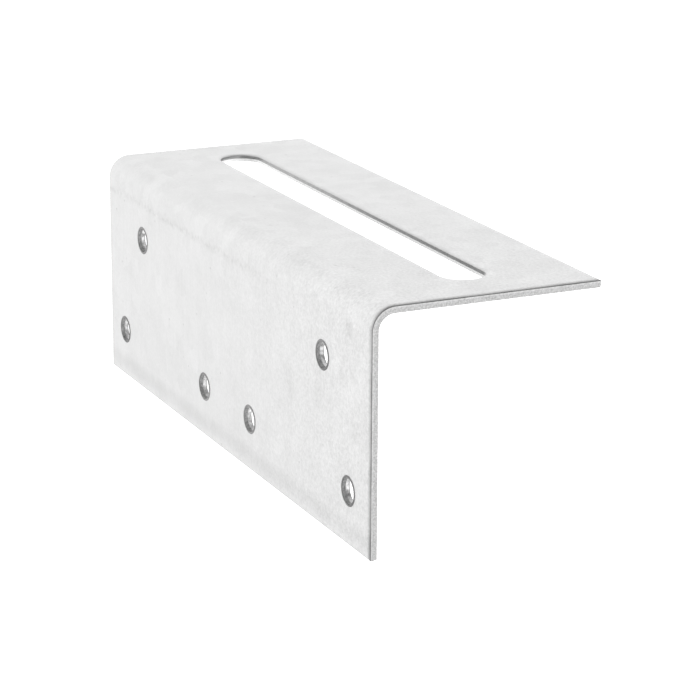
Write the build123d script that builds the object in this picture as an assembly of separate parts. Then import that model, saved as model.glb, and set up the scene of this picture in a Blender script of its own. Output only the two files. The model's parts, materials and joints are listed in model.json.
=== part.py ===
"""Roof bracket: one strip of galvanised sheet steel, punched and folded once.

The upright leg is nailed or screwed to timber through six round holes in two rows.
The flat leg has one long slot beside the fold, so that what it holds can slide.

X runs along the fold, Y from the upright leg to the flat leg's free edge, and Z up.
The origin is the middle of the bracket's outline seen from above, level with the
upright leg's lower edge. All values are millimetres.
"""

import os

from build123d import *

# Overall sizes, measured over the outside of the fold
length = 125.0
upright_height = 45.0
flat_width = 44.0

# Sheet and fold
thickness = 1.5
inner_bend_radius = 3.0

# Round holes in the upright leg: an upper pair, and a lower row of an outer and an inner pair.
# Rows are set from the nearer edge of the leg, and outer pairs from the bracket's ends.
hole_diameter = 4.5
lower_row_rise = 10.0
upper_row_drop = 13.5
lower_end_margin = 8.5
upper_end_margin = 19.25
lower_inner_spacing = 22.0

# Slot in the flat leg with full-round ends, its centre line set from the upright leg's face
slot_width = 8.5
slot_end_margin = 9.5
slot_offset = 24.0

# What the punch and the shear leave: the side they strike is drawn in round each cut, and
# each opening tears wider over the last share of the sheet's thickness. The shear and the
# slot's punch strike the outer side, and the nail holes' punch strikes the inner one.
draw_in_radius = 0.25
torn_share = 0.4
torn_widening = 0.08

# Worked out from the sizes above
outer_bend_radius = inner_bend_radius + thickness
outer_face_y = -flat_width / 2
inner_face_y = outer_face_y + thickness
free_edge_y = flat_width / 2
torn_depth = torn_share * thickness
slot_length = length - 2 * slot_end_margin
hole_pairs = [
    (length - 2 * lower_end_margin, lower_row_rise),
    (lower_inner_spacing, lower_row_rise),
    (length - 2 * upper_end_margin, upright_height - upper_row_drop),
]

# The faces that the punches strike: +Y of each runs up the upright leg, or across the flat leg
nail_face = Plane(origin=(0, inner_face_y, 0), x_dir=(-1, 0, 0), z_dir=(0, 1, 0))
slot_face = Plane(origin=(0, outer_face_y, upright_height), x_dir=(1, 0, 0), z_dir=(0, 0, 1))


def folded_strip():
    """The bare strip after folding: an L section of even thickness along its whole length."""
    with BuildPart() as strip:
        with BuildSketch(Plane.YZ):
            with BuildLine():
                FilletPolyline(
                    (outer_face_y, 0),
                    (outer_face_y, upright_height),
                    (free_edge_y, upright_height),
                    radius=outer_bend_radius,
                )
                offset(amount=thickness, side=Side.RIGHT)
            make_face()
        extrude(amount=length / 2, both=True)
    return strip.part


def punched_opening(outline, struck_face):
    """What one stroke of a punch removes: a straight hole that flares where the sheet tore."""
    straight = extrude(struck_face * outline, amount=-thickness)
    tear_start = struck_face.offset(torn_depth - thickness) * outline
    tear_end = struck_face.offset(-thickness) * offset(outline, amount=torn_widening)
    return straight + loft([tear_start, tear_end])


def struck_edges(plate):
    """Every edge that the shear or a punch met: the outline, the slot's rim and the holes' rims."""
    upright_outer, upright_inner = plate.faces().filter_by(Plane.XZ).sort_by(Axis.Y)[:2]
    flat_outer = plate.faces().sort_by(Axis.Z)[-1]
    bend_outer = plate.faces().filter_by(GeomType.CYLINDER).sort_by(SortBy.AREA)[-1]
    outer_edges = upright_outer.outer_wire().edges() + flat_outer.edges() + bend_outer.edges()
    outline_and_slot = [edge for edge in outer_edges if outer_edges.count(edge) == 1]
    nail_hole_rims = [edge for wire in upright_inner.inner_wires() for edge in wire.edges()]
    return ShapeList(outline_and_slot + nail_hole_rims)


angle_plate = folded_strip()

for spacing, row_height in hole_pairs:
    for centre_x in (-spacing / 2, spacing / 2):
        nail_hole = Pos(centre_x, row_height) * Circle(hole_diameter / 2)
        angle_plate -= punched_opening(nail_hole, nail_face)

slot = Pos(0, slot_offset) * SlotOverall(slot_length, slot_width)
angle_plate -= punched_opening(slot, slot_face)

angle_plate = fillet(struck_edges(angle_plate), radius=draw_in_radius)

os.makedirs("parts", exist_ok=True)
export_step(angle_plate, "parts/angle_plate.step")
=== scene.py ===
import json
import math

import bmesh
import bpy
from mathutils import Matrix, Vector


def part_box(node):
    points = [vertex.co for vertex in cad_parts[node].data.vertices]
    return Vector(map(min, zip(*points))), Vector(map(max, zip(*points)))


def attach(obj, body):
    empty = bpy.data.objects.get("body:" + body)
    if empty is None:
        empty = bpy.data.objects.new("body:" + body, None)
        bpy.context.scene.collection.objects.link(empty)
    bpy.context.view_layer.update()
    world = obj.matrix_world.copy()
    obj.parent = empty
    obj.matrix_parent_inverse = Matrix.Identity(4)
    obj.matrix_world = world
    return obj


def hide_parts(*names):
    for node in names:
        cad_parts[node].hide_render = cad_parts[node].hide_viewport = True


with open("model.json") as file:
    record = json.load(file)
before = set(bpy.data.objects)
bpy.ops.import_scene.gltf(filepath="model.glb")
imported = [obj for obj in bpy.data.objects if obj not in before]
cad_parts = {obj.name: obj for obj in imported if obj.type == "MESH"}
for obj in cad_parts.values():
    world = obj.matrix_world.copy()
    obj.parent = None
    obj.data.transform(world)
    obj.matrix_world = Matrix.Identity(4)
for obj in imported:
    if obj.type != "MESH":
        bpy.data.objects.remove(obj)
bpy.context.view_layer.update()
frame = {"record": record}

# ---------------------------------------------------------------------------------------
# The folded strip. One length of galvanised sheet steel, sheared from the sheet and folded
# once on a press brake. Its section is drawn up from the lower edge, turned round the fold
# and drawn out to the free edge, so the sheet keeps one thickness throughout.

MM = 0.001
# How far apart two places that should be one may come out, and two depths that should match
TINY = 0.001 * MM
NEAR = 0.01 * MM

low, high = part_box("angle_plate")
mounts = {mount["name"]: mount for mount in frame["record"]["mounts"]}
sheet = mounts["flat_upper_face"]["pos_m"][2] - mounts["flat_under_face"]["pos_m"][2]
inner_bend_radius = 3.0 * MM
bend_radius = inner_bend_radius + sheet
bend_steps = 24
bend_axis = Vector((0, low.y + bend_radius, high.z - bend_radius))


def depth(point):
    """How deep a point lies in the sheet, measured from its outer skin."""
    across = max(bend_axis.y - point.y, 0.0)
    above = max(point.z - bend_axis.z, 0.0)
    return bend_radius - math.hypot(across, above)


def choose(piece, kind, wanted):
    """In edit mode, selects just the verts, edges or faces that the test says are wanted."""
    kinds = ("verts", "edges", "faces")
    bpy.context.tool_settings.mesh_select_mode = [kind == each for each in kinds]
    mesh = bmesh.from_edit_mesh(piece.data)
    for item in [*mesh.verts, *mesh.edges, *mesh.faces]:
        item.select = False
    for item in getattr(mesh, kind):
        if wanted(item):
            item.select_set(True)
    mesh.select_flush_mode()
    bmesh.update_edit_mesh(piece.data)


bpy.ops.object.select_all(action="DESELECT")
bpy.ops.mesh.primitive_plane_add(size=1.0, location=(0, low.y + sheet / 2, low.z))
plate = bpy.context.active_object
plate.name = "folded_angle_plate"
plate.scale = (high.x - low.x, sheet, 1)
bpy.ops.object.transform_apply(location=True, rotation=True, scale=True)

bpy.ops.object.mode_set(mode="EDIT")
bpy.ops.mesh.select_all(action="SELECT")
bpy.ops.mesh.extrude_region_move(TRANSFORM_OT_translate={"value": (0, 0, bend_axis.z - low.z)})
bpy.ops.mesh.spin(steps=bend_steps, angle=math.pi / 2, center=bend_axis, axis=(1, 0, 0))
bpy.ops.mesh.extrude_region_move(TRANSFORM_OT_translate={"value": (0, high.y - bend_axis.y, 0)})
bpy.ops.mesh.select_all(action="SELECT")
bpy.ops.mesh.remove_doubles(threshold=TINY)
bpy.ops.mesh.normals_make_consistent(inside=False)

# ---------------------------------------------------------------------------------------
# The sheared outline. The blade drags the outer skin down before it bites, then cuts a
# narrow burnished band, and the rest of the sheet tears and leans back a little.

roll_width = 1.1 * MM
roll_depth = 0.34 * MM
roll_steps = 9
torn_setback = 0.07 * MM
same_angle = 0.01


def on_skin(face):
    """Whether the whole face lies in the outer skin."""
    return all(abs(depth(vert.co)) < NEAR for vert in face.verts)


def rolled(vert):
    """Whether a vertex belongs to the rolled rim, which the bevel first makes too deep."""
    return NEAR < depth(vert.co) < roll_width + NEAR


def on_step(point, angle):
    """Whether a point lies on the step of the fold that is this far round it."""
    back = bend_axis.y - point.y
    up = point.z - bend_axis.z
    return back > TINY and up > TINY and abs(math.atan2(up, back) - angle) < same_angle


def crosses_wall(edge):
    """Whether an edge runs across the cut wall, from the rolled rim to the inner skin."""
    start, end = (depth(vert.co) for vert in edge.verts)
    return abs(start - end) > sheet - roll_depth - NEAR


choose(plate, "edges", lambda edge: sum(on_skin(face) for face in edge.link_faces) == 1)
bpy.ops.mesh.bevel(offset=roll_width, segments=roll_steps, profile=0.5, affect="EDGES")

# Pressed shallow: straight in on each leg, and towards the skin at each step of the fold
shallow = roll_depth / roll_width
choose(plate, "verts", lambda vert: rolled(vert) and vert.co.z < bend_axis.z + TINY)
bpy.ops.transform.resize(value=(1, shallow, 1), center_override=(0, low.y, 0))
choose(plate, "verts", lambda vert: rolled(vert) and vert.co.y > bend_axis.y - TINY)
bpy.ops.transform.resize(value=(1, 1, shallow), center_override=(0, 0, high.z))
for step in range(1, bend_steps):
    angle = step / bend_steps * math.pi / 2
    outwards = Vector((0, -math.cos(angle), math.sin(angle)))
    choose(plate, "verts", lambda vert: rolled(vert) and on_step(vert.co, angle))
    skin_point = bend_axis + bend_radius * outwards
    bpy.ops.transform.resize(value=(1, shallow, shallow), center_override=skin_point)

# Rings round the cut wall: the first marks where the burnished band ends, and from there
# each leans in further than the last
wall_rings = 3
choose(plate, "edges", crosses_wall)
bpy.ops.mesh.subdivide_edgering(number_cuts=wall_rings, interpolation="LINEAR")
for ring in range(2, wall_rings + 2):
    ring_depth = roll_depth + ring / (wall_rings + 1) * (sheet - roll_depth)
    lean = torn_setback * (ring - 1) / wall_rings
    for wall, inwards in (
        (lambda point: point.x > high.x - torn_setback, (-lean, 0, 0)),
        (lambda point: point.x < low.x + torn_setback, (lean, 0, 0)),
        (lambda point: point.z < low.z + torn_setback, (0, 0, lean)),
        (lambda point: point.y > high.y - torn_setback, (0, -lean, 0)),
    ):
        choose(
            plate,
            "verts",
            lambda vert: abs(depth(vert.co) - ring_depth) < NEAR and wall(vert.co),
        )
        bpy.ops.transform.translate(value=inwards)
bpy.ops.object.mode_set(mode="OBJECT")

# ---------------------------------------------------------------------------------------
# The slot in the flat leg, for a bolt that can slide. Its punch strikes from above: it drags
# the skin down round itself, cuts clean for part of the way, and tears the rest wider. The
# tool has the form of what it leaves: a round tool, drawn apart into two half-round ends.

slot = mounts["sliding_slot"]
slot_radius = slot["dims"]["hole_r_mm"] * MM
slot_travel = slot["dims"]["slot_length_mm"] * MM / 2 - slot_radius
slot_rim_width = 1.1 * MM
slot_rim_drop = 0.3 * MM
punched_band = 0.6 * sheet
torn_widening = 0.1 * MM
ring_sides = 64


def make_tool(radius, rings, half_travel=0.0):
    """A round tool along +Z with its flat start. rings gives each ring's height and growth."""
    true_radius = radius / math.cos(math.pi / ring_sides)
    start_height, start_growth = rings[0]
    bpy.ops.object.select_all(action="DESELECT")
    bpy.ops.mesh.primitive_circle_add(
        vertices=ring_sides, radius=true_radius + start_growth, fill_type="NGON"
    )
    tool = bpy.context.active_object
    bpy.ops.object.mode_set(mode="EDIT")
    bpy.ops.mesh.select_all(action="SELECT")
    bpy.ops.transform.translate(value=(0, 0, start_height))
    bpy.ops.transform.rotate(value=math.pi / ring_sides, orient_axis="Z", center_override=(0, 0, 0))
    for (height, growth), (next_height, next_growth) in zip(rings, rings[1:]):
        rise = next_height - height
        wider = (true_radius + next_growth) / (true_radius + growth)
        bpy.ops.mesh.extrude_region_move(TRANSFORM_OT_translate={"value": (0, 0, rise)})
        bpy.ops.transform.resize(value=(wider, wider, 1), center_override=(0, 0, 0))
    bpy.ops.mesh.select_all(action="SELECT")
    bpy.ops.mesh.normals_make_consistent(inside=False)
    if half_travel:
        for side in (-1, 1):
            choose(tool, "verts", lambda vert: vert.co.x * side > 0)
            bpy.ops.transform.translate(value=(side * half_travel, 0, 0))
    bpy.ops.object.mode_set(mode="OBJECT")
    return tool


def join_in(tool, centre, turn, how):
    """Joins a copy of the tool to the plate or cuts it out, with its origin put at centre."""
    placed = tool.copy()
    placed.data = tool.data.copy()
    bpy.context.collection.objects.link(placed)
    placed.matrix_world = Matrix.Translation(centre) @ turn.to_4x4()
    bpy.ops.object.select_all(action="DESELECT")
    bpy.context.view_layer.objects.active = placed
    placed.select_set(True)
    bpy.ops.object.transform_apply(location=True, rotation=True, scale=True)
    bpy.ops.object.select_all(action="DESELECT")
    bpy.context.view_layer.objects.active = plate
    plate.select_set(True)
    bpy.ops.object.modifier_add(type="BOOLEAN")
    stroke = plate.modifiers[-1]
    stroke.operation = how
    stroke.solver = "EXACT"
    stroke.object = placed
    bpy.ops.object.modifier_apply(modifier=stroke.name)
    bpy.data.objects.remove(placed)


def struck_rings(width, drop):
    """A punch's rings from above the struck side: the drawn-in rim, the band and the tear."""
    rim_steps = 8
    rim = []
    for step in range(rim_steps + 1):
        turn = step / rim_steps * math.pi / 2
        rim.append((drop * (1 - math.cos(turn)), width * (1 - math.sin(turn))))

    # The tool starts clear of the sheet, a hair wider than the rim, and ends clear of it too
    overshoot = 0.3 * MM
    widening_rate = torn_widening / (sheet - punched_band)
    above = (-overshoot, width + NEAR)
    below = (sheet + overshoot, torn_widening + widening_rate * overshoot)
    return [above, *rim, (punched_band, 0.0), (sheet, torn_widening), below]


face_down = Matrix.Rotation(math.pi, 3, "X")
slot_tool = make_tool(slot_radius, struck_rings(slot_rim_width, slot_rim_drop), slot_travel)
join_in(slot_tool, Vector(slot["pos_m"]), face_down, "DIFFERENCE")
bpy.data.objects.remove(slot_tool)

# ---------------------------------------------------------------------------------------
# The six nail holes in the upright leg. Their punch strikes from inside the angle, so the
# steel torn out at the outer face stands up round each hole as a low burr.

hole_radius = mounts["upper_holes"]["dims"]["hole_r_mm"] * MM
hole_rim_width = 0.4 * MM
hole_rim_drop = 0.25 * MM
burr_height = 0.1 * MM
burr_half_width = 0.27 * MM
burr_sides = 16

# The burr, a flattened ring that lies half in the outer face
bpy.ops.object.select_all(action="DESELECT")
bpy.ops.mesh.primitive_torus_add(
    major_segments=ring_sides,
    minor_segments=burr_sides,
    major_radius=hole_radius + burr_half_width,
    minor_radius=burr_half_width,
)
burr = bpy.context.active_object
flattened = burr_height / burr_half_width
bpy.ops.object.mode_set(mode="EDIT")
bpy.ops.mesh.select_all(action="SELECT")
bpy.ops.transform.resize(value=(1, 1, flattened), center_override=(0, 0, 0))
bpy.ops.object.mode_set(mode="OBJECT")

hole_punch = make_tool(hole_radius, struck_rings(hole_rim_width, hole_rim_drop))
face_outwards = Matrix.Rotation(math.pi / 2, 3, "X")
through_sheet = Vector((0, -sheet, 0))
hole_centres = []
for name in ("lower_outer_holes", "lower_inner_holes", "upper_holes"):
    middle_of_pair = Vector(mounts[name]["pos_m"])
    half_spacing = mounts[name]["dims"]["spacing_x_mm"] * MM / 2
    for side in (-1, 1):
        struck_centre = middle_of_pair + Vector((side * half_spacing, 0, 0))
        join_in(burr, struck_centre + through_sheet, face_outwards, "UNION")
        join_in(hole_punch, struck_centre, face_outwards, "DIFFERENCE")
        hole_centres.append(struck_centre)
bpy.data.objects.remove(burr)
bpy.data.objects.remove(hole_punch)

# ---------------------------------------------------------------------------------------
# The galvanised skin. Steel sheet dipped in molten zinc and rolled dull: a matt pale grey
# whose spangle barely shows. Grain and specks stand out more towards the handled end.


def linear(hex_colour):
    """An sRGB hex colour as linear RGBA."""
    channels = [int(hex_colour[i:i + 2], 16) / 255 for i in (1, 3, 5)]
    return [c / 12.92 if c <= 0.04045 else ((c + 0.055) / 1.055) ** 2.4 for c in channels] + [1.0]


def node(tree, kind, settings=None, links=None):
    """Adds a node. settings fill its fields or inputs, and links join its inputs to outputs."""
    made = tree.nodes.new(kind)
    for name, value in (settings or {}).items():
        if isinstance(name, str) and hasattr(made, name):
            setattr(made, name, value)
        else:
            made.inputs[name].default_value = value
    for name, source in (links or {}).items():
        tree.links.new(source, made.inputs[name])
    return made


def per_metre(size_mm):
    """A texture's Scale, so that one repeat or cell of its pattern is size_mm long."""
    return 1 / (size_mm * MM)


# Rolled zinc gives the eye an even, soft sheen with no clear reflections
zinc = bpy.data.materials.new("hot_dipped_zinc_rolled_matt")
zinc.use_nodes = True
tree = zinc.node_tree
shader = tree.nodes["Principled BSDF"]
shader.inputs["Metallic"].default_value = 0.8
where = node(tree, "ShaderNodeTexCoord").outputs["Object"]
along = node(tree, "ShaderNodeSeparateXYZ", {}, {"Vector": where}).outputs

# Spangle: zinc crystals 3 mm or so across, with ruffled borders, flattened by the rolls
ruffle_reach = 1.2 * MM
ruffle = node(
    tree, "ShaderNodeTexNoise", {"Scale": per_metre(2.5), "Detail": 2.0}, {"Vector": where}
)
ruffled = node(
    tree,
    "ShaderNodeMixRGB",
    {"blend_type": "LINEAR_LIGHT", "Fac": ruffle_reach},
    {"Color1": where, "Color2": ruffle.outputs["Color"]},
)
spangle = node(
    tree,
    "ShaderNodeTexVoronoi",
    {"feature": "F1", "Scale": per_metre(3.2)},
    {"Vector": ruffled.outputs["Color"]},
)
crystal = node(tree, "ShaderNodeSeparateColor", {}, {"Color": spangle.outputs["Color"]})

# Clouding: where the coating froze a little thicker or thinner, in patches of 8 mm or so
clouds = node(
    tree,
    "ShaderNodeTexNoise",
    {"Scale": per_metre(8.0), "Detail": 3.0, "Roughness": 0.6},
    {"Vector": where},
)

# Grain: what the rolls gave the zinc, drawn at 0.6 mm, coarser than life, so that it shows.
# Handling has brought it out towards the +X end
handled_from = -10 * MM
handled_to = 50 * MM
grain = node(
    tree,
    "ShaderNodeTexNoise",
    {"Scale": per_metre(0.6), "Detail": 3.0, "Roughness": 0.75},
    {"Vector": where},
)
handled = node(
    tree,
    "ShaderNodeMapRange",
    {"From Min": handled_from, "From Max": handled_to, "To Min": 0.3, "To Max": 1.0},
    {"Value": along["X"]},
)
grain_balanced = node(
    tree, "ShaderNodeMath", {"operation": "SUBTRACT", 1: 0.5}, {0: grain.outputs["Fac"]}
)
grain_shown = node(
    tree,
    "ShaderNodeMath",
    {"operation": "MULTIPLY"},
    {0: grain_balanced.outputs["Value"], 1: handled.outputs["Result"]},
)

# Rolling streaks: they run round the section, so they are long along Y and Z and fine along X
drawn_out = node(
    tree,
    "ShaderNodeMapping",
    {"Scale": (per_metre(0.6), per_metre(9.0), per_metre(9.0))},
    {"Vector": where},
)
streaks = node(
    tree,
    "ShaderNodeTexNoise",
    {"Scale": 1.0, "Detail": 2.0},
    {"Vector": drawn_out.outputs["Vector"]},
)

# Pits: dark specks about 0.4 mm across, in only a few of the cells they could lie in
pit_cells = node(
    tree, "ShaderNodeTexVoronoi", {"feature": "F1", "Scale": per_metre(2.4)}, {"Vector": where}
)
pit_choice = node(tree, "ShaderNodeSeparateColor", {}, {"Color": pit_cells.outputs["Color"]})
pit_present = node(
    tree, "ShaderNodeMath", {"operation": "GREATER_THAN", 1: 0.8}, {0: pit_choice.outputs["Red"]}
)
pit_round = node(
    tree,
    "ShaderNodeMapRange",
    {"From Min": 0.03, "From Max": 0.13, "To Min": 1.0, "To Max": 0.0},
    {"Value": pit_cells.outputs["Distance"]},
)
pits = node(
    tree,
    "ShaderNodeMath",
    {"operation": "MULTIPLY"},
    {0: pit_present.outputs["Value"], 1: pit_round.outputs["Result"]},
)

# Die mark: the shoulder of the folding die rubs a faint broken line beside the fold, and it
# fades out past the middle of the length
die_line_height = high.z - 6.2 * MM
die_line_core = 0.1 * MM
die_line_reach = 1.1 * MM
die_line_end = 32 * MM
wavering = node(tree, "ShaderNodeSeparateXYZ", {}, {"Vector": ruffled.outputs["Color"]}).outputs
from_die_line = node(
    tree, "ShaderNodeMath", {"operation": "SUBTRACT", 1: die_line_height}, {0: wavering["Z"]}
)
die_line_gap = node(
    tree, "ShaderNodeMath", {"operation": "ABSOLUTE"}, {0: from_die_line.outputs["Value"]}
)
die_line = node(
    tree,
    "ShaderNodeMapRange",
    {"From Min": die_line_core, "From Max": die_line_reach, "To Min": 1.0, "To Max": 0.0},
    {"Value": die_line_gap.outputs["Value"]},
)
die_line_span = node(
    tree,
    "ShaderNodeMapRange",
    {"From Min": 0.0, "From Max": die_line_end, "To Min": 1.0, "To Max": 0.0},
    {"Value": along["X"]},
)
rubbing = node(
    tree, "ShaderNodeTexNoise", {"Scale": per_metre(1.0), "Detail": 2.0}, {"Vector": where}
)
rubbed = node(
    tree,
    "ShaderNodeMapRange",
    {"From Min": 0.38, "From Max": 0.6},
    {"Value": rubbing.outputs["Fac"]},
)
die_line_shown = node(
    tree,
    "ShaderNodeMath",
    {"operation": "MULTIPLY"},
    {0: die_line.outputs["Result"], 1: die_line_span.outputs["Result"]},
)
die_mark = node(
    tree,
    "ShaderNodeMath",
    {"operation": "MULTIPLY"},
    {0: die_line_shown.outputs["Value"], 1: rubbed.outputs["Result"]},
)

# Painted shade: a soft darker band just above the lower edge, for the floor's contact shadow that
# the face mirrors
low_shade_height = low.z + 3.0 * MM
low_shade_core = 0.2 * MM
low_shade_reach = 2.4 * MM
from_low_shade = node(
    tree, "ShaderNodeMath", {"operation": "SUBTRACT", 1: low_shade_height}, {0: along["Z"]}
)
low_shade_gap = node(
    tree, "ShaderNodeMath", {"operation": "ABSOLUTE"}, {0: from_low_shade.outputs["Value"]}
)
painted_low_shade = node(
    tree,
    "ShaderNodeMapRange",
    {
        "interpolation_type": "SMOOTHSTEP",
        "From Min": low_shade_core,
        "From Max": low_shade_reach,
        "To Min": 1.0,
        "To Max": 0.0,
    },
    {"Value": low_shade_gap.outputs["Value"]},
)

# Smudge: a touch of oil left beside the fold near the +X end
smudge_place = (high.x - 8.5 * MM, low.y, high.z - 5.8 * MM)
smudge_core = 0.3 * MM
smudge_reach = 2.2 * MM
from_smudge = node(
    tree,
    "ShaderNodeVectorMath",
    {"operation": "DISTANCE", 1: smudge_place},
    {0: ruffled.outputs["Color"]},
)
smudge = node(
    tree,
    "ShaderNodeMapRange",
    {
        "interpolation_type": "SMOOTHSTEP",
        "From Min": smudge_core,
        "From Max": smudge_reach,
        "To Min": 1.0,
        "To Max": 0.0,
    },
    {"Value": from_smudge.outputs["Value"]},
)

# All of them together, as one number that is 0 in the palest zinc and 1 in the darkest
plain_tone = 0.18
tone = None
for source, share in (
    (crystal.outputs["Red"], 0.06),
    (clouds.outputs["Fac"], 0.2),
    (grain_shown.outputs["Value"], 1.2),
    (streaks.outputs["Fac"], 0.12),
    (pits.outputs["Value"], 0.5),
    (die_mark.outputs["Value"], 0.22),
    # the painted shade band above the lower edge
    (painted_low_shade.outputs["Result"], 0.16),
    (smudge.outputs["Result"], 0.3),
):
    links = {0: source, 2: tone.outputs["Value"]} if tone else {0: source}
    settings = {"operation": "MULTIPLY_ADD", 1: share, 2: plain_tone}
    tone = node(tree, "ShaderNodeMath", settings, links)
skin_colour = node(
    tree,
    "ShaderNodeMixRGB",
    {"use_clamp": True, "Color1": linear("#d6d6d6"), "Color2": linear("#a8a8a8")},
    {"Fac": tone.outputs["Value"]},
)

# Over the rolled rims and the holes' burrs the zinc is painted dark: partly stretched thin zinc
# showing steel, partly painted shade for the dark surroundings these curved rims mirror, more in
# some places than in others
rim_shade_source = node(tree, "ShaderNodeAttribute", {"attribute_name": "stretched"})
patches = node(
    tree, "ShaderNodeTexNoise", {"Scale": per_metre(7.0), "Detail": 2.0}, {"Vector": where}
)
patchy = node(
    tree,
    "ShaderNodeMapRange",
    {"From Min": 0.35, "From Max": 0.6, "To Min": 0.8, "To Max": 1.0},
    {"Value": patches.outputs["Fac"]},
)
rim_shade_amount = node(
    tree,
    "ShaderNodeMath",
    {"operation": "MULTIPLY"},
    {0: rim_shade_source.outputs["Fac"], 1: patchy.outputs["Result"]},
)
coloured = node(
    tree,
    "ShaderNodeMixRGB",
    {"Color2": linear("#363636")},
    {"Fac": rim_shade_amount.outputs["Value"], "Color1": skin_colour.outputs["Color"]},
)
tree.links.new(coloured.outputs["Color"], shader.inputs["Base Color"])
dullness = node(
    tree,
    "ShaderNodeMapRange",
    {"To Min": 0.47, "To Max": 0.53},
    {"Value": crystal.outputs["Green"]},
)
tree.links.new(dullness.outputs["Result"], shader.inputs["Roughness"])
relief = node(
    tree,
    "ShaderNodeBump",
    {"Strength": 0.35, "Distance": 0.02 * MM},
    {"Height": grain_shown.outputs["Value"]},
)
tree.links.new(relief.outputs["Normal"], shader.inputs["Normal"])

# ---------------------------------------------------------------------------------------
# The cut edges. Bare steel: the blade or the punch first burnishes a narrow band, bright
# where it was sheared, and the rest tears, grey and grainy. In the slot and the nail holes
# these colours also hold painted light and shade.


def bare_steel(name, dark, light, grain_mm, settings):
    """Bare steel whose colour wanders between dark and light over patches of grain_mm."""
    finish = bpy.data.materials.new(name)
    finish.use_nodes = True
    tree = finish.node_tree
    shader = tree.nodes["Principled BSDF"]
    for socket, value in settings.items():
        shader.inputs[socket].default_value = value
    place = node(tree, "ShaderNodeTexCoord").outputs["Object"]
    mottle = node(
        tree,
        "ShaderNodeTexNoise",
        {"Scale": per_metre(grain_mm), "Detail": 3.0, "Roughness": 0.65},
        {"Vector": place},
    )
    spread = node(
        tree,
        "ShaderNodeMapRange",
        {"From Min": 0.3, "From Max": 0.7},
        {"Value": mottle.outputs["Fac"]},
    )
    colour = node(
        tree,
        "ShaderNodeMixRGB",
        {"Color1": linear(dark), "Color2": linear(light)},
        {"Fac": spread.outputs["Result"]},
    )
    tree.links.new(colour.outputs["Color"], shader.inputs["Base Color"])
    relief = node(
        tree,
        "ShaderNodeBump",
        {"Strength": 0.4, "Distance": settings["Roughness"] * 0.05 * MM},
        {"Height": mottle.outputs["Fac"]},
    )
    tree.links.new(relief.outputs["Normal"], shader.inputs["Normal"])
    return finish


# Each kind of cut has its own pair, with grain drawn coarser than life, so that it shows
burnish = {"Metallic": 1.0, "Roughness": 0.3}
tear = {"Metallic": 0.7, "Roughness": 0.6}
cuts = {
    # The open outline: a thin bright line that catches the light, then an even grey tear
    "outline": (
        bare_steel("sheared_steel_burnished", "#a2a2a2", "#c4c4c4", 0.6, burnish),
        bare_steel("sheared_steel_torn", "#9c9c9c", "#cbcbcb", 0.3, tear),
    ),
    # The slot: its burnished walls are painted darker, as shade for the dark inside of the angle
    # they mirror, and its torn walls paler, as painted light for the floor they mirror through the
    # slot
    "slot": (
        bare_steel("slot_punched_steel_burnished", "#808080", "#969696", 0.8, burnish),
        bare_steel("slot_punched_steel_torn", "#dedede", "#f4f4f4", 0.3, tear),
    ),
    # The nail holes: a small punch left the walls streaked, their burnished band running from dark
    # to near white as painted reflections and highlights, and they tore dull
    "hole": (
        bare_steel("nail_hole_steel_burnished", "#7c7c7c", "#fafafa", 1.3, burnish),
        bare_steel("nail_hole_steel_torn", "#787878", "#b4b4b4", 0.5, tear),
    ),
}
finishes = [zinc, *(steel for pair in cuts.values() for steel in pair)]
for finish in finishes:
    plate.data.materials.append(finish)

# How far each opening's rim and wall reach from its axis, with a little to spare
burr_reach = hole_radius + 2 * burr_half_width + 0.05 * MM
slot_reach = slot_radius + slot_rim_width + 0.9 * MM

sheared_band = roll_depth + (sheet - roll_depth) / (wall_rings + 1)
# How much painted rim shade each kind of rim takes, for the dark surroundings that it mirrors, with
# some thin zinc
cut_end_shade = 1.0
long_edge_shade = 0.2
slot_rim_shade = 0.35
burr_shade = 0.8


def from_hole(point):
    """The distance from the axis of the nearest nail hole."""
    return min(math.hypot(point.x - hole.x, point.z - hole.z) for hole in hole_centres)


def at_slot(point):
    """Whether a point lies in the slot's wall or on its drawn-in rim."""
    across = abs(point.y - slot["pos_m"][1])
    return across < slot_reach and abs(point.x) < slot_travel + slot_reach


def finish_of(face):
    """The finish of one face, and how dark its zinc is painted, as rim shade and thin zinc, where
    it is rolled the most.
    """
    corners = [plate.data.vertices[index].co for index in face.vertices]
    centre = sum(corners, Vector()) / len(corners)
    depths = [depth(corner) for corner in corners]
    middle = sum(depths) / len(depths)
    if max(abs(corner_depth) for corner_depth in depths) < NEAR / 2:
        return zinc, 0.0
    if min(depths) > sheet - NEAR / 2:
        return zinc, 0.0

    # A nail hole: its burr, the rim that the punch drew in on the inner face, or its wall
    if centre.y < low.y + sheet + TINY and from_hole(centre) < burr_reach:
        on_burr = min(depths) < -NEAR / 2 and middle < 0
        on_inner_rim = min(depths) > sheet - hole_rim_drop - NEAR / 2
        if on_burr or on_inner_rim:
            return zinc, burr_shade
        burnished, torn = cuts["hole"]
        return burnished if middle > sheet - punched_band else torn, 0.0

    # The rolled rim of the slot, of a cut end or of a long edge
    if max(depths) < roll_depth + NEAR / 2:
        if at_slot(centre):
            return zinc, slot_rim_shade
        at_end = abs(centre.x) > high.x - roll_width - TINY
        return zinc, cut_end_shade if at_end else long_edge_shade

    burnished, torn = cuts["slot" if at_slot(centre) else "outline"]
    band = punched_band if at_slot(centre) else sheared_band
    return burnished if middle < band else torn, 0.0


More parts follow.
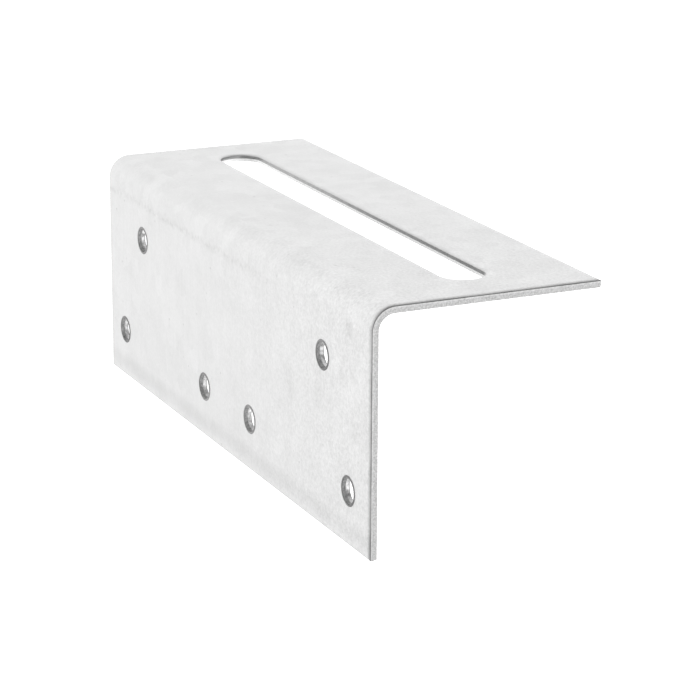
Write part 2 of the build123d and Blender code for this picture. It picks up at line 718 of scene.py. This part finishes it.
# A burr is painted dark all over, and a rolled rim darker the deeper it is rolled: painted shade,
# with some thin zinc
rim_shade_layer = plate.data.attributes.new("stretched", "FLOAT", "CORNER")
for face in plate.data.polygons:
    finish, rim_shade = finish_of(face)
    face.material_index = finishes.index(finish)
    for loop, index in zip(face.loop_indices, face.vertices):
        rolled_in = abs(depth(plate.data.vertices[index].co)) / roll_depth
        share = 1.0 if rim_shade == burr_shade else min(1.0, rolled_in)
        rim_shade_layer.data[loop].value = rim_shade * share

smooth_below = math.radians(35)
bpy.ops.object.select_all(action="DESELECT")
bpy.context.view_layer.objects.active = plate
plate.select_set(True)
bpy.ops.object.shade_smooth_by_angle(angle=smooth_below)
bpy.ops.object.modifier_add(type="WEIGHTED_NORMAL")
weighting = plate.modifiers[-1]
weighting.keep_sharp = True
bpy.ops.object.modifier_apply(modifier=weighting.name)

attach(plate, "root")
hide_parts("angle_plate")

# ---------------------------------------------------------------------------------------
# The floor. A wide sheet of matt white paper on a light table, so that no shadow greys it
# under the bracket. It lies level with the bracket's lower edge.

floor_size = 8.0
floor_glow = 0.8

bpy.ops.object.select_all(action="DESELECT")
bpy.ops.mesh.primitive_plane_add(size=floor_size, location=(0, 0, low.z))
floor = bpy.context.active_object
floor.name = "pale_floor"
paper = bpy.data.materials.new("uncoated_white_paper")
paper.use_nodes = True
shader = paper.node_tree.nodes["Principled BSDF"]
shader.inputs["Base Color"].default_value = linear("#fafafa")
shader.inputs["Emission Color"].default_value = linear("#ffffff")
shader.inputs["Emission Strength"].default_value = floor_glow
shader.inputs["Roughness"].default_value = 0.9
shader.inputs["Specular IOR Level"].default_value = 0.0
floor.data.materials.append(paper)

# ---------------------------------------------------------------------------------------
# The light. A white fabric tent lit evenly from outside, so there are no hard shadows. It
# has one dim opening in its roof towards the +X end, which only reflections pick out.

tent_light = 0.8
tent_glow = 1.72
opening_glow = 0.6
opening_direction = (0.5, 0.0, 0.866)
opening_rim_cosine = 0.3
opening_middle_cosine = 0.9

world = bpy.data.worlds.new("white_tent")
bpy.context.scene.world = world
world.use_nodes = True
tree = world.node_tree
place = node(tree, "ShaderNodeTexCoord")
towards_opening = node(
    tree,
    "ShaderNodeVectorMath",
    {"operation": "DOT_PRODUCT", 1: opening_direction},
    {0: place.outputs["Generated"]},
)
tent_wall = node(
    tree,
    "ShaderNodeMapRange",
    {
        "interpolation_type": "SMOOTHSTEP",
        "From Min": opening_rim_cosine,
        "From Max": opening_middle_cosine,
        "To Min": tent_glow,
        "To Max": opening_glow,
    },
    {"Value": towards_opening.outputs["Value"]},
)
ray = node(tree, "ShaderNodeLightPath")
strength = node(
    tree,
    "ShaderNodeMix",
    {"data_type": "FLOAT", 2: tent_light},
    {0: ray.outputs["Is Glossy Ray"], 3: tent_wall.outputs["Result"]},
)
background = tree.nodes["Background"]
background.inputs["Color"].default_value = (1, 1, 1, 1)
tree.links.new(strength.outputs[0], background.inputs["Strength"])

bpy.context.scene.view_settings.view_transform = "Standard"

# ---------------------------------------------------------------------------------------
# The camera. A long lens half a metre away, a little above the bracket and nearly in line
# with it, so that one cut end is close and the fold runs away to the left.

azimuth = math.radians(64.63)
elevation = math.radians(16.84)
roll = math.radians(0.34)
aim = Vector((2.677, 2.545, 18.113)) * MM
distance = 509.2 * MM

camera_data = bpy.data.cameras.new("camera")
camera_data.sensor_width = 36.0
camera_data.lens = 136.7
camera_data.clip_start = 0.01
camera = bpy.data.objects.new("camera", camera_data)
bpy.context.scene.collection.objects.link(camera)
bpy.context.scene.camera = camera
turn = (
    Matrix.Rotation(azimuth, 4, "Z")
    @ Matrix.Rotation(math.pi / 2 - elevation, 4, "X")
    @ Matrix.Rotation(roll, 4, "Z")
)
camera.matrix_world = Matrix.Translation(aim) @ turn @ Matrix.Translation((0, 0, distance))
